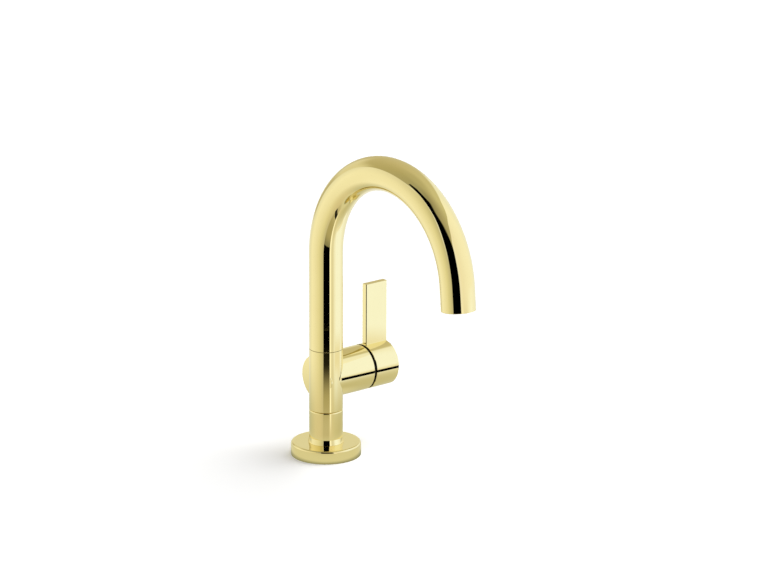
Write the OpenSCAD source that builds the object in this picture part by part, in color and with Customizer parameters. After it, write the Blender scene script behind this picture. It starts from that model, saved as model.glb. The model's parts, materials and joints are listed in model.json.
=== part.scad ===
// Single-lever gooseneck bar faucet, deck mounted, one hole.
// Units are millimetres. The origin is the centre of the base flange on the
// deck plane, +Z is up, the spout points to -Y and the lever stands at +X.

/* [Column] */
// Outer diameter of the column and of the spout tube
column_d = 28.6; // [27.4:0.2:32]
// Wall of the spout tube
tube_wall = 1.6; // [1.2:0.1:2]
// Height of the seam between the pedestal and the valve body
lower_seam_z = 40.2; // [38:0.2:44]
// Height of the seam where the spout turns on the valve body
upper_seam_z = 93.6; // [90:0.2:110]
// Width of the shadow line at both seams
seam_gap = 0.3; // [0.2:0.05:0.5]
// Bevel of the pedestal's upper edge, at the lower seam
seam_bevel = 0.5; // [0.2:0.1:0.8]

/* [Gooseneck] */
// Height where the tube leaves the vertical
bend_start_z = 177.4; // [150:0.2:230]
// Centreline radius of the bend
bend_r = 83.6; // [60:0.2:110]
// Angle that the tube turns through, in degrees
bend_sweep = 174.6; // [165:0.2:180]
// Straight length from the bend to the outlet
outlet_straight = 19.2; // [17:0.2:50]

/* [Base] */
// Outer diameter of the base flange
base_d = 59.6; // [54:0.2:72]
// Height of the base flange
base_h = 11.2; // [9:0.1:14]
// Radius of the flange's upper edge
base_edge_r = 1.8; // [0.6:0.1:3]
// Width of the flange's rim on the deck
base_rim = 3.4; // [3.2:0.1:5]
// Thickness of the flange's top plate
base_plate = 3.4; // [3:0.1:4]
// Width of the boss round the flange's bore
base_boss = 4.5; // [3:0.1:6]
// Thickness of the gasket under the flange
gasket_t = 1.6; // [1:0.1:2.5]

/* [Mounting] */
// Outer diameter of the threaded shank
shank_d = 25.4; // [25:0.1:25.8]
// Bore of the shank, for both supply hoses
shank_bore_d = 21.4; // [20.8:0.1:22]
// Length of the shank below the deck plane
shank_drop = 50; // [45:1:90]
// Length of the shank screwed into the pedestal
shank_engage = 10.5; // [8:0.5:12]
// Thickness of the deck that the hardware is drawn for
deck_t = 20; // [6:1:30]
// Outer diameter of the two washers under the deck
washer_d = 48; // [44:0.5:56]
// Thickness of the rubber washer
rubber_t = 3; // [2:0.1:4]
// Thickness of the steel washer
steel_t = 1.5; // [1:0.1:2]
// Width across the flats of the mounting nut
deck_nut_af = 36; // [33:0.5:41]
// Height of the mounting nut
deck_nut_h = 8; // [6:0.5:10]

/* [Valve body] */
// Outer diameter of the barrel
barrel_d = 38.8; // [38.2:0.2:44]
// How far the barrel's axis lies behind the column's
barrel_back = 5.6; // [4:0.1:7]
// Length of the barrel past the column's axis, closed end
barrel_tail = 5.8; // [3:0.1:12]
// Length of the barrel from the column's axis to its open end
barrel_l = 42.5; // [41.5:0.1:55]
// Diameter of the spigot that screws into the pedestal
spigot_d = 24; // [23.6:0.1:24.4]
// Length of the spigot
spigot_l = 10.6; // [8:0.1:12]
// Wall radius of the two tapped inlets, as cut for a 10 mm thread
inlet_r = 4.6; // [4.2:0.1:4.7]
// Distance between the inlet axes
inlet_pitch = 11.2; // [10.6:0.1:11.6]
// Depth of the tapped inlets
inlet_depth = 12; // [10:0.5:13]
// Diameter of the waterways to and from the cartridge
waterway_d = 5.2; // [4:0.1:5.4]

/* [Swivel] */
// Diameter of the post that the spout turns on
post_d = 20; // [18:0.1:20.4]
// Bore of the post
post_bore_d = 13; // [10:0.5:14]
// Height of the post above the valve body
post_l = 28; // [26:0.5:36]
// Depth of the post's thread in the valve body
post_engage = 13; // [10:0.5:14]
// Diameter of the post's thread
post_thread_d = 18; // [16.5:0.5:18]
// Width of the seal grooves in the post
groove_w = 2.4; // [2:0.1:2.6]
// Depth of the seal grooves in the post
groove_deep = 1.5; // [1:0.1:1.8]
// Width of the groove that the retaining screw runs in
keeper_w = 4.4; // [3.6:0.1:4.8]
// Thickness of the plastic washer under the spout
glide_t = 1.6; // [1:0.1:2]

/* [Cartridge] */
// Diameter of the cartridge
cartridge_d = 30; // [29:0.1:30.4]
// Distance of the cartridge's seat from the column's axis
seat_x = 13; // [12.6:0.1:13.6]
// Diameter of the ceramic discs
disc_d = 25.6; // [25:0.1:26]
// Thickness of each ceramic disc
disc_t = 3.6; // [3:0.1:4]
// Diameter of the spindle
spindle_d = 10; // [8.4:0.1:11]
// Distance of the disc ports from the cartridge's axis
port_r = 7.7; // [7.2:0.1:8.2]
// Diameter of the thread of the cartridge nut
cap_nut_d = 34; // [33:0.1:35]

/* [Lever] */
// Length of the hub
hub_l = 24.3; // [20:0.1:36]
// Shadow gap between the barrel and the hub
hub_gap = 2.4; // [1.6:0.1:4]
// Chamfer of the hub's and the barrel's edges
edge_chamfer = 0.4; // [0.2:0.1:0.8]
// Depth of the pocket in the hub
hub_pocket = 10; // [9:0.5:12]
// Wall of the hub round the pocket
hub_wall = 3; // [2:0.1:4]
// Height of the blade's top above the barrel's axis
blade_top = 72.6; // [50:0.2:110]
// Width of the blade, along the barrel
blade_w = 22.8; // [14:0.2:23]
// Thickness of the blade
blade_t = 5.5; // [4:0.1:8]
// Bevel of the blade's upright edges
blade_bevel = 0.5; // [0.2:0.1:1.2]
// Width across the flats of the spindle's square end
square_w = 6.8; // [6:0.1:7]
// Turn of the lever from closed to fully hot, in degrees
lever_turn = 90; // [60:5:100]

/* [Outlet] */
// Outer diameter of the aerator's thread
aerator_d = 22; // [20:0.5:22]
// Length of the aerator housing in the tube
aerator_l = 11; // [9:0.5:13]
// Bore of the aerator housing
aerator_bore_d = 18; // [16:0.5:18.4]
// Thickness of the aerator's lip
aerator_lip = 1.4; // [1:0.1:2]
// How far the lip is set back from the tube's end
aerator_recess = 0.4; // [0.2:0.1:1.5]
// Thickness of the honeycomb screen
screen_t = 2.5; // [1.5:0.1:3]

/* [Fits] */
// Radial clearance of parts that turn in each other
running_fit = 0.06; // [0.03:0.01:0.1]
// Radial clearance of threads and of parts that are fixed
close_fit = 0.05; // [0.02:0.01:0.1]
// Gap between faces that turn past each other
face_gap = 0.3; // [0.2:0.05:0.4]

/* [Hidden] */
$fn = 96;

// Overshoot of cutting bodies past the faces that they open
over = 1;

// Column and base
column_r = column_d / 2;
tube_bore_r = column_r - tube_wall;
shank_r = shank_d / 2;
spigot_r = spigot_d / 2;
spigot_z = lower_seam_z - spigot_l;
body_z0 = lower_seam_z + seam_gap / 2;
body_z1 = upper_seam_z - seam_gap / 2;
spout_z0 = upper_seam_z + seam_gap / 2;
hose_way_r = shank_bore_d / 2;
// Radial room round the shank in the flange and in the washers
shank_room = 0.4;
gasket_r = base_d / 2 - base_rim - shank_room;
washer_z = -deck_t;
steel_z = washer_z - rubber_t - steel_t;
deck_nut_z = steel_z - deck_nut_h;

// Barrel, measured along its own axis from the column's axis
barrel_r = barrel_d / 2;
barrel_z = (lower_seam_z + upper_seam_z) / 2;
// Radial room round the cartridge in its bay
bay_room = 0.2;
bay_r = cartridge_d / 2 + bay_room;
// The cartridge from its seat outwards: rubber seal, base, two discs, carrier, stop, front wall
seal_t = 1;
cartridge_base_t = 4;
disc_x = seat_x + seal_t + cartridge_base_t;
moving_x = disc_x + disc_t + running_fit;
carrier_x = moving_x + disc_t;
carrier_t = 4;
stop_x = carrier_x + carrier_t + face_gap;
stop_t = 3.2;
housing_front_t = 4;
housing_x1 = stop_x + stop_t + housing_front_t;
housing_bore_r = disc_d / 2 + face_gap;
cap_nut_r = cap_nut_d / 2;
hub_x0 = barrel_l + hub_gap;
hub_x1 = hub_x0 + hub_l;
spindle_r = spindle_d / 2;
// Groove of the spindle's seal, in the middle of the housing's front wall
stem_groove_x = stop_x + stop_t + housing_front_t / 2;
stem_groove_w = 1.8;
stem_groove_deep = 1;
// The hub's boss starts this far inside the hub's mouth
boss_in = 1.6;
boss_r = 7.6;
socket_x1 = hub_x0 + hub_pocket + 1.4;
screw_x = hub_x0 + hub_pocket / 2 + 1;

// Both grub screws have one thread and one hexagon socket
grub_r = 2;
socket_r = 1.15;
socket_deep = 1.7;
// Radius of the hole in the hub that the screw plug closes
plug_hole_r = 2.6;

// Angles of the cartridge's ports round the barrel's axis, from straight down towards the back
mixed_angle = 180;
hot_angle = 340;
cold_angle = 290;
port_angles = [hot_angle, cold_angle, mixed_angle];
// The moving disc's pocket, as it lies with the tap closed
pocket_from = 75;
pocket_sweep = 187;
// The lug on the stem and the slack at both stops
lug_from = 20;
lug_sweep = 30;
stop_slack = 2;

// Post and bush
post_r = post_d / 2;
post_top_z = body_z1 + post_l;
seal_depth_r = post_r - groove_deep;
bush_z0 = body_z1 + glide_t + face_gap;
// How far the bush reaches above the post
bush_over = 1.5;
bush_z1 = post_top_z + bush_over;
// The retaining groove is half way up the bush, with a seal and then a glide ring on each side
seal_step = 6;
ring_step = 10;
keeper_z = (bush_z0 + post_top_z) / 2 - seam_gap;
seal_zs = [keeper_z - seal_step, keeper_z + seal_step];
ring_zs = [keeper_z - ring_step, keeper_z + ring_step];

// Centre of the bend
bend_y = -bend_r;
aerator_r = aerator_d / 2;
aerator_seat_r = aerator_bore_d / 2;
shelf_z = aerator_recess + aerator_lip;
aerator_top = shelf_z + aerator_l;
aerator_washer_t = 1.5;

// Colours
brass = [0.89, 0.78, 0.45];
cast_brass = [0.72, 0.60, 0.32];
steel = [0.70, 0.71, 0.73];
rubber = [0.10, 0.10, 0.11];
acetal = [0.90, 0.90, 0.87];
dark_acetal = [0.09, 0.08, 0.07];
ceramic = [0.95, 0.94, 0.90];

// Round bar between two points of equal or different height
module bar_between(from, to, r) {
    v = to - from;
    translate(from)
        rotate([0, acos(v[2] / norm(v)), atan2(v[1], v[0])])
            cylinder(r = r, h = norm(v));
}

// Plain ring standing on z0
module ring(r_out, r_in, z0, h) {
    translate([0, 0, z0]) difference() {
        cylinder(r = r_out, h = h);
        translate([0, 0, -over]) cylinder(r = r_in, h = h + 2 * over);
    }
}

// Cylinder with both edges chamfered, turned from one profile
module chamfered_bar(r, z0, z1, c) {
    rotate_extrude()
        polygon([[0, z0], [r - c, z0], [r, z0 + c], [r, z1 - c], [r - c, z1], [0, z1]]);
}

// Stretch of a ring between two angles
module ring_sector(r_out, r_in, z0, h, from, sweep) {
    translate([0, 0, z0]) rotate([0, 0, from]) rotate_extrude(angle = sweep)
        translate([r_in, 0]) square([r_out - r_in, h]);
}

// Round seal on the Z axis, flat where it meets its bore and its groove
module o_ring(r_out, section, z) {
    free_d = section * 1.12;
    translate([0, 0, z]) rotate_extrude()
        intersection() {
            translate([r_out - section / 2, 0]) circle(d = free_d, $fn = 48);
            translate([r_out - section, -section]) square([section, 2 * section]);
        }
}

// Moves to the barrel's axis: local Z runs along +X, local X points down
module at_barrel(x = 0) {
    translate([x, barrel_back, barrel_z]) rotate([0, 90, 0]) children();
}

// One waterway port at every angle in the list
module at_ports(angles) {
    for (a = angles) rotate([0, 0, a]) translate([port_r, 0, 0]) children();
}

// Place of a port on the cartridge's seat, in the part's frame
function port_point(a) =
    [seat_x + over, barrel_back + port_r * sin(a), barrel_z - port_r * cos(a)];

// Solid that follows the gooseneck's centreline, with both ends lengthened by extra
module spout_path(r, z0, extra) {
    translate([0, 0, z0 - extra]) cylinder(r = r, h = bend_start_z - z0 + extra);
    translate([0, bend_y, bend_start_z]) rotate([90, 0, 90])
        rotate_extrude(angle = bend_sweep) translate([bend_r, 0]) circle(r = r);
    at_bend_end() cylinder(r = r, h = outlet_straight + extra);
    // A slightly thinner core laps the joint, so that bend and outlet are one solid
    at_bend_end() translate([0, 0, -over]) cylinder(r = r - tube_wall / 4, h = 2 * over);
}

// Moves to the end of the bend, local Z along the water's way out
module at_bend_end() {
    translate([0, bend_y, bend_start_z]) rotate([bend_sweep, 0, 0])
        translate([0, bend_r, 0]) children();
}

// Moves to the outlet's end plane, local Z pointing back into the tube
module at_outlet() {
    at_bend_end() translate([0, 0, outlet_straight]) rotate([180, 0, 0]) children();
}

module deck_gasket() {
    color(rubber) ring(gasket_r, shank_r + shank_room, 0, gasket_t);
}

module base_flange() {
    rim_r = base_d / 2;
    boss_outer_r = shank_r + shank_room + base_boss;
    color(brass) difference() {
        rotate_extrude() {
            square([rim_r, base_h - base_edge_r]);
            square([rim_r - base_edge_r, base_h]);
            translate([rim_r - base_edge_r, base_h - base_edge_r]) circle(r = base_edge_r, $fn = 64);
        }
        translate([0, 0, -over]) cylinder(r = shank_r + shank_room, h = base_h + 2 * over);
        translate([0, 0, -over]) cylinder(r = rim_r - base_rim, h = gasket_t + over);
        ring(rim_r - base_rim, boss_outer_r, gasket_t - over, base_h - base_plate - gasket_t + over);
    }
}

module pedestal() {
    shank_top = base_h + shank_engage;
    top = lower_seam_z - seam_gap / 2;
    color(brass) difference() {
        rotate_extrude() {
            translate([0, base_h]) square([column_r, top - seam_bevel - base_h]);
            polygon([
                [0, top], [0, top - seam_bevel], [column_r, top - seam_bevel], [column_r - seam_bevel, top]
            ]);
        }
        translate([0, 0, base_h - over]) cylinder(r = shank_r + close_fit, h = shank_engage + over);
        translate([0, 0, shank_top - over]) cylinder(r = hose_way_r, h = spigot_z - shank_top + 2 * over);
        translate([0, 0, spigot_z]) cylinder(r = spigot_r + close_fit, h = spigot_l + over);
    }
}

module mounting_shank() {
    color(cast_brass) ring(shank_r, hose_way_r, -shank_drop, shank_drop + base_h + shank_engage);
}

module rubber_washer() {
    color(rubber) ring(washer_d / 2, shank_r + shank_room, washer_z - rubber_t, rubber_t);
}

module steel_washer() {
    color(steel) ring(washer_d / 2, shank_r + shank_room, steel_z, steel_t);
}

module mounting_nut() {
    corner_r = deck_nut_af / 2 / cos(30);
    flange_t = 2;
    chamfer = 1;
    corner_cut = 0.3;
    color(cast_brass) difference() {
        union() {
            translate([0, 0, deck_nut_z]) intersection() {
                cylinder(r = corner_r, h = deck_nut_h, $fn = 6);
                chamfered_bar(corner_r - corner_cut, 0, deck_nut_h, chamfer);
            }
            translate([0, 0, steel_z - flange_t]) cylinder(r = corner_r, h = flange_t);
        }
        translate([0, 0, deck_nut_z - over]) cylinder(r = shank_r + close_fit, h = deck_nut_h + 2 * over);
    }
}

module valve_body() {
    inlet_y = inlet_pitch / 2;
    inlet_top = spigot_z + inlet_depth;
    post_hole_z = body_z1 - post_engage;
    color(brass) difference() {
        union() {
            translate([0, 0, body_z0]) cylinder(r = column_r, h = body_z1 - body_z0);
            translate([0, 0, spigot_z]) cylinder(r = spigot_r, h = spigot_l + over);
            at_barrel() chamfered_bar(barrel_r, -barrel_tail, barrel_l, edge_chamfer);
        }
        at_barrel(seat_x) cylinder(r = bay_r, h = barrel_l);
        at_barrel(housing_x1) cylinder(r = cap_nut_r, h = barrel_l);
        translate([0, 0, post_hole_z]) cylinder(r = post_thread_d / 2 + close_fit, h = post_engage + over);
        for (side = [-1, 1])
            translate([0, side * inlet_y, spigot_z - over]) cylinder(r = inlet_r, h = inlet_depth + over);
        bar_between([0, -inlet_y, inlet_top - over], port_point(cold_angle), waterway_d / 2);
        bar_between([0, inlet_y, inlet_top - over], port_point(hot_angle), waterway_d / 2);
        bar_between([0, 0, post_hole_z + waterway_d / 2], port_point(mixed_angle), waterway_d / 2);
    }
}

module swivel_post() {
    color(cast_brass) difference() {
        union() {
            translate([0, 0, body_z1 - post_engage]) cylinder(r = post_thread_d / 2, h = post_engage);
            translate([0, 0, body_z1]) cylinder(r = post_r, h = post_l);
        }
        translate([0, 0, body_z1 - post_engage - over])
            cylinder(r = post_bore_d / 2, h = post_engage + post_l + 2 * over);
        for (z = concat(seal_zs, ring_zs))
            ring(post_r + over, seal_depth_r, z - groove_w / 2, groove_w);
        ring(post_r + over, seal_depth_r, keeper_z - keeper_w / 2, keeper_w);
    }
}

module post_o_rings() {
    color(rubber) for (z = seal_zs)
        o_ring(post_r + running_fit / 2, groove_deep + running_fit / 2 - close_fit / 2, z);
}

// Split rings that keep the spout centred on the post
module glide_rings() {
    split = 12;
    color(acetal) for (z = ring_zs)
        ring_sector(post_r + running_fit / 2, seal_depth_r + close_fit / 2,
            z - groove_w / 2 + close_fit, groove_w - 2 * close_fit, split / 2, 360 - split);
}

module glide_washer() {
    color(acetal) ring(tube_bore_r - face_gap, post_r + close_fit, body_z1, glide_t);
}

module cartridge_seal() {
    color(rubber) at_barrel(seat_x) difference() {
        cylinder(r = cartridge_d / 2, h = seal_t);
        translate([0, 0, -over]) at_ports(port_angles) cylinder(d = waterway_d, h = seal_t + 2 * over);
    }
}

module cartridge_base() {
    color(dark_acetal) at_barrel(seat_x + seal_t) difference() {
        cylinder(r = cartridge_d / 2, h = cartridge_base_t);
        translate([0, 0, -over]) at_ports(port_angles)
            cylinder(d = waterway_d, h = cartridge_base_t + 2 * over);
    }
}

module fixed_disc() {
    color(ceramic) at_barrel(disc_x) difference() {
        cylinder(d = disc_d, h = disc_t);
        translate([0, 0, -over]) at_ports(port_angles) cylinder(d = waterway_d, h = disc_t + 2 * over);
    }
}

module cartridge_housing() {
    free_from = lug_from - stop_slack;
    free_sweep = lug_sweep + lever_turn + 2 * stop_slack;
    stop_room = 2;
    color(dark_acetal) at_barrel() {
        ring(cartridge_d / 2, housing_bore_r, disc_x, stop_x + stop_t - disc_x);
        ring(cartridge_d / 2, spindle_r + running_fit, stop_x + stop_t, housing_front_t);
        ring_sector(housing_bore_r + close_fit, spindle_r + stop_room, stop_x, stop_t + close_fit,
            free_from + free_sweep, 360 - free_sweep);
    }
}

// Slotted nut that presses the cartridge on its seat
module cartridge_nut() {
    slot_w = 3.2;
    // Share of the nut's length that the slots are cut in
    slot_share = 0.35;
    spindle_room = 4;
    nut_l = barrel_l - housing_x1;
    slot_deep = slot_share * nut_l;
    color(cast_brass) at_barrel(housing_x1) difference() {
        cylinder(r = cap_nut_r - close_fit, h = nut_l);
        translate([0, 0, -over]) cylinder(r = spindle_r + spindle_room, h = nut_l + 2 * over);
        for (a = [45, 135])
            rotate([0, 0, a]) translate([-cap_nut_r, -slot_w / 2, nut_l - slot_deep])
                cube([2 * cap_nut_r, slot_w, slot_deep + over]);
    }
}

// Dark washer that fills the gap between the barrel and the hub
module hub_washer() {
    nut_lap = 0.6;
    spindle_room = 6;
    color(dark_acetal) at_barrel(barrel_l)
        ring(cap_nut_r + nut_lap, spindle_r + spindle_room, 0, hub_gap - face_gap);
}

module spout_tube() {
    color(brass) difference() {
        spout_path(column_r, spout_z0, 0);
        spout_path(tube_bore_r, spout_z0, over);
        grub_hole();
    }
}

// Tapped hole for the retaining screw, at the back of the spout's foot
module grub_hole() {
    translate([0, 0, keeper_z]) rotate([-90, 0, 0])
        cylinder(r = grub_r + close_fit, h = column_r + over);
}

// Bush brazed into the tube's foot: it turns on the post
module spout_bush() {
    color(cast_brass) difference() {
        ring(tube_bore_r, post_r + running_fit, bush_z0, bush_z1 - bush_z0);
        grub_hole();
    }
}

// Socket-head grub screw that runs in the post's groove
module spout_screw() {
    tip_r = 1.2;
    head_z0 = post_r + face_gap;
    head_z1 = column_r - face_gap;
    color(steel) translate([0, 0, keeper_z]) rotate([-90, 0, 0]) difference() {
        union() {
            translate([0, 0, head_z0]) cylinder(r = grub_r, h = head_z1 - head_z0);
            translate([0, 0, seal_depth_r + face_gap])
                cylinder(r = tip_r, h = head_z0 - seal_depth_r);
        }
        hex_socket(head_z1);
    }
}

// Hexagon socket of a grub screw, cut down from its top face
module hex_socket(top_z) {
    translate([0, 0, top_z - socket_deep]) cylinder(r = socket_r, h = socket_deep + over, $fn = 6);
}

// Threaded ferrule brazed into the tube's end, with a seat for the aerator's washer
module outlet_ferrule() {
    seat_t = 1.5;
    ferrule_l = aerator_l + aerator_washer_t + seat_t;
    color(cast_brass) at_outlet() difference() {
        translate([0, 0, shelf_z]) cylinder(r = tube_bore_r, h = ferrule_l);
        translate([0, 0, shelf_z - over])
            cylinder(r = aerator_r + close_fit, h = ferrule_l - seat_t + over);
        translate([0, 0, shelf_z]) cylinder(r = aerator_seat_r, h = ferrule_l + over);
    }
}

module aerator_housing() {
    shelf_w = 1.2;
    color(brass) at_outlet() difference() {
        union() {
            translate([0, 0, shelf_z]) cylinder(r = aerator_r, h = aerator_l);
            chamfered_bar(tube_bore_r - face_gap, aerator_recess, shelf_z, aerator_lip / 3);
        }
        translate([0, 0, shelf_z]) cylinder(r = aerator_seat_r, h = aerator_l + over);
        cylinder(r = aerator_seat_r - shelf_w, h = shelf_z + over);
    }
}

module aerator_washer() {
    color(rubber) at_outlet() ring(aerator_r, aerator_seat_r, aerator_top, aerator_washer_t);
}

// Plastic flow body: a cup whose floor holds a ring of jets
module aerator_core() {
    jets = 12;
    jet_r = 0.9;
    floor_t = 2;
    jet_ring_r = aerator_seat_r * 0.6;
    core_h = aerator_l - screen_t;
    color(acetal) at_outlet() translate([0, 0, shelf_z + screen_t]) difference() {
        cylinder(r = aerator_seat_r - close_fit, h = core_h);
        translate([0, 0, floor_t]) cylinder(r = aerator_seat_r - floor_t, h = core_h);
        for (i = [0:jets - 1])
            rotate([0, 0, i * 360 / jets]) translate([jet_ring_r, 0, -over])
                cylinder(r = jet_r, h = floor_t + 2 * over, $fn = 24);
    }
}

// Honeycomb face that the water leaves through
module aerator_screen() {
    pitch = 2.6;
    hole_r = 1;
    screen_r = aerator_seat_r - close_fit;
    rows = floor((screen_r - 2 * hole_r) / pitch);
    color(acetal) at_outlet() translate([0, 0, shelf_z]) difference() {
        cylinder(r = screen_r, h = screen_t);
        for (i = [-rows:rows], j = [-rows:rows]) {
            p = [pitch * (i + j / 2), pitch * j * sin(60)];
            if (norm(p) < screen_r - 2 * hole_r)
                translate([p[0], p[1], -over]) cylinder(r = hole_r, h = screen_t + 2 * over, $fn = 6);
        }
    }
}

// Disc that turns with the lever: its pocket joins the inlets to the mixed port
module moving_disc() {
    rim_room = 0.5;
    color(ceramic) at_barrel(moving_x) difference() {
        cylinder(r = disc_d / 2 - rim_room, h = disc_t);
        ring_sector(port_r + waterway_d / 2, port_r - waterway_d / 2, -over, disc_t / 2 + over,
            pocket_from, pocket_sweep);
    }
}

// Carrier, stop lug, spindle and square end, turned and milled from one bar
module valve_stem() {
    carrier_r = disc_d / 2 - 1.5;
    lug_room = 2;
    color(cast_brass) at_barrel() difference() {
        union() {
            translate([0, 0, carrier_x]) cylinder(r = carrier_r, h = carrier_t);
            translate([0, 0, carrier_x + carrier_t]) cylinder(r = spindle_r, h = hub_x0 + boss_in
                - carrier_x - carrier_t - face_gap);
            ring_sector(housing_bore_r - lug_room, spindle_r - over, carrier_x + carrier_t - close_fit,
                stop_t + close_fit, lug_from, lug_sweep);
            translate([-square_w / 2, -square_w / 2, hub_x0])
                cube([square_w, square_w, socket_x1 - hub_x0 - face_gap]);
        }
        ring(spindle_r + over, spindle_r - stem_groove_deep, stem_groove_x - stem_groove_w / 2,
            stem_groove_w);
    }
}

module stem_o_ring() {
    color(rubber) at_barrel() o_ring(spindle_r + running_fit / 2, stem_groove_deep, stem_groove_x);
}

module lever_handle() {
    blade_x = hub_x1 - blade_w / 2;
    // The blade runs this deep into the hub's wall
    root = hub_wall / 2;
    color(brass) difference() {
        union() {
            at_barrel() difference() {
                chamfered_bar(barrel_r, hub_x0, hub_x1, edge_chamfer);
                ring(barrel_r - hub_wall, boss_r, hub_x0 - over, hub_pocket + over);
                translate([0, 0, hub_x0 - over]) cylinder(r = boss_r + over, h = boss_in + over);
            }
            translate([blade_x, barrel_back, barrel_z + barrel_r - root])
                linear_extrude(blade_top - barrel_r + root)
                    bevelled_rect(blade_w, blade_t, blade_bevel);
        }
        translate([0, barrel_back, barrel_z])
            translate([hub_x0, -square_w / 2 - close_fit, -square_w / 2 - close_fit])
                cube([socket_x1 - hub_x0, square_w + 2 * close_fit, square_w + 2 * close_fit]);
        translate([screw_x, barrel_back, barrel_z]) rotate([180, 0, 0]) {
            cylinder(r = grub_r + close_fit, h = boss_r + over);
            translate([0, 0, boss_r]) cylinder(r = plug_hole_r, h = barrel_r);
        }
    }
}

// Rectangle with its four corners cut off at 45 degrees, centred
module bevelled_rect(w, d, c) {
    polygon([
        [w / 2 - c, -d / 2], [w / 2, c - d / 2], [w / 2, d / 2 - c], [w / 2 - c, d / 2],
        [c - w / 2, d / 2], [-w / 2, d / 2 - c], [-w / 2, c - d / 2], [c - w / 2, -d / 2]
    ]);
}

module handle_screw() {
    color(steel) translate([screw_x, barrel_back, barrel_z]) rotate([180, 0, 0]) difference() {
        translate([0, 0, square_w / 2]) cylinder(r = grub_r, h = boss_r - square_w / 2);
        hex_socket(boss_r);
    }
}

// Button that closes the screw's access hole, flush with the hub
module screw_plug() {
    plug_r = plug_hole_r - close_fit;
    color(dark_acetal) translate([screw_x, barrel_back, barrel_z]) rotate([180, 0, 0])
        intersection() {
            translate([0, 0, barrel_r - hub_wall]) cylinder(r = plug_r, h = hub_wall);
            rotate([0, 90, 0]) cylinder(r = barrel_r - close_fit, h = 3 * plug_r, center = true);
        }
}

deck_gasket();
base_flange();
pedestal();
mounting_shank();
rubber_washer();
steel_washer();
mounting_nut();
valve_body();
swivel_post();
post_o_rings();
glide_rings();
glide_washer();
cartridge_seal();
cartridge_base();
fixed_disc();
cartridge_housing();
cartridge_nut();
hub_washer();
spout_tube();
spout_bush();
spout_screw();
outlet_ferrule();
aerator_housing();
aerator_washer();
aerator_core();
aerator_screen();
moving_disc();
valve_stem();
stem_o_ring();
lever_handle();
handle_screw();
screw_plug();
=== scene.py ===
import json
import math

import bmesh
import bpy
from mathutils import Matrix, Vector

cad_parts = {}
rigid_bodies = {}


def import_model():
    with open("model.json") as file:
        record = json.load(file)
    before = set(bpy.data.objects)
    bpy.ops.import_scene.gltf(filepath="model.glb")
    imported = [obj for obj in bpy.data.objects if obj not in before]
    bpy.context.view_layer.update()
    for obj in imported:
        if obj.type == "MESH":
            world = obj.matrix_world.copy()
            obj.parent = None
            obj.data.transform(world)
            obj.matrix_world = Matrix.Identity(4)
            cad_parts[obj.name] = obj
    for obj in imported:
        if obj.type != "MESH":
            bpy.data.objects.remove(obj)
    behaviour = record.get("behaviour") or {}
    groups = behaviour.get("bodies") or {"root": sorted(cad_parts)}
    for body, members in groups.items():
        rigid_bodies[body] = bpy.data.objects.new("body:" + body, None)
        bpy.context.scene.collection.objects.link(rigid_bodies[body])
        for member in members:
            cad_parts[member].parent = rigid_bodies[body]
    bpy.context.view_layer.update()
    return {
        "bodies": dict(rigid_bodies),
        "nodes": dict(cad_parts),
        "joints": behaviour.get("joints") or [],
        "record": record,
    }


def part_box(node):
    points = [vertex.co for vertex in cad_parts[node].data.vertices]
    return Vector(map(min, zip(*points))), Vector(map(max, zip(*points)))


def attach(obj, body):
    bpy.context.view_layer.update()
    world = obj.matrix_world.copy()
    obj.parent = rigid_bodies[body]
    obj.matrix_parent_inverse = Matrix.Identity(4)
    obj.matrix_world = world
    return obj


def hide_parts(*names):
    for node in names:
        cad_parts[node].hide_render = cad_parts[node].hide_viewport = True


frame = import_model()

# Gooseneck bar faucet in polished brass. The deck is the plane z = 0, the spout points
# to -Y and the lever stands at +X. Lengths are metres.
MM = 0.001

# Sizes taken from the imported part
SPOUT_LOW, SPOUT_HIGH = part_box("spout_tube")
HUB_LOW, HUB_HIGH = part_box("lever_handle")
FLANGE_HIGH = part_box("base_flange")[1]
PEDESTAL_LOW, PEDESTAL_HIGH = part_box("pedestal")
BODY_LOW, BODY_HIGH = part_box("valve_body")
SHANK_LOW, SHANK_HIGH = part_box("mounting_shank")
NUT_LOW, NUT_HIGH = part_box("mounting_nut")
SPOUT_SCREW_LOW, SPOUT_SCREW_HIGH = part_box("spout_screw")
LEVER_SCREW_LOW, LEVER_SCREW_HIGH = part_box("handle_screw")
COLUMN_R = PEDESTAL_HIGH.x
FLANGE_R = FLANGE_HIGH.x
SHANK_R = SHANK_HIGH.x
BARREL_R = (HUB_HIGH.y - HUB_LOW.y) / 2
BARREL_Y = (HUB_HIGH.y + HUB_LOW.y) / 2
BARREL_Z = HUB_LOW.z + BARREL_R
SPOUT_SCREW_Z = (SPOUT_SCREW_LOW.z + SPOUT_SCREW_HIGH.z) / 2
LEVER_SCREW_X = (LEVER_SCREW_LOW.x + LEVER_SCREW_HIGH.x) / 2

# Sizes that the boxes don't show, as in the part
# Base and column
GASKET_T = 1.6 * MM
FLANGE_RIM = 3.4 * MM
FLANGE_TOP = 3.4 * MM
FLANGE_BOSS = 4.5 * MM
FLANGE_EDGE = 1.8 * MM
SHANK_ROOM = 0.4 * MM
HOSE_WAY_R = 10.7 * MM
NUT_FLANGE = 2 * MM
SEAM_GAP = 0.3 * MM
FIT = 0.05 * MM
# Gooseneck
TUBE_WALL = 1.6 * MM
BEND_START = 177.4 * MM
BEND_SWEEP = math.radians(174.6)
BEND_R = SPOUT_HIGH.z - COLUMN_R - BEND_START
OUTLET_STRAIGHT = 19.2 * MM
# Valve body
BARREL_TAIL = 5.8 * MM
SPIGOT_R = 12 * MM
SEAT_X = 13 * MM
BAY_R = 15.2 * MM
HOUSING_X = 36.76 * MM
CAP_NUT_R = 17 * MM
POST_HOLE_R = 9.05 * MM
POST_HOLE_DEEP = 13 * MM
INLET_R = 4.6 * MM
INLET_Y = 5.6 * MM
INLET_DEEP = 12 * MM
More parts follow.
